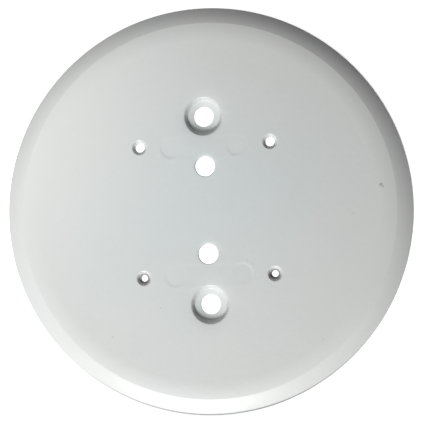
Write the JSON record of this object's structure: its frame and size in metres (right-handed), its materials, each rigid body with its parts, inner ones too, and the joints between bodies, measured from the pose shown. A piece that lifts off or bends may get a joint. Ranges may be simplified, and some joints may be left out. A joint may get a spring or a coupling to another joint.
{
  "type": "blind flange",
  "caption": "Round pressed-steel cover plate with a bevelled rim, recessed and plain screw holes, and two straps spot-welded behind it.",
  "frame": {"origin": "on the plate's axis, in the plane of the rim's seat, which is the plane the plate lies on", "axes": "+Z along the plate's axis, out of the front face; +Y along the line of the four large holes, towards the pair of wider small screw holes; +X to the right, seen from the front"},
  "size_m": [0.187, 0.187, 0.005],
  "materials": {
    "plate_paint": "satin white-grey powder coat on pressed steel sheet",
    "strap_paint": "the same powder coat, thinner and duller, on steel strap"
  },
  "bodies": {
    "root": {"cover_plate": "plate_paint", "upper_back_strap": "strap_paint", "lower_back_strap": "strap_paint"}
  },
  "joints": []
}
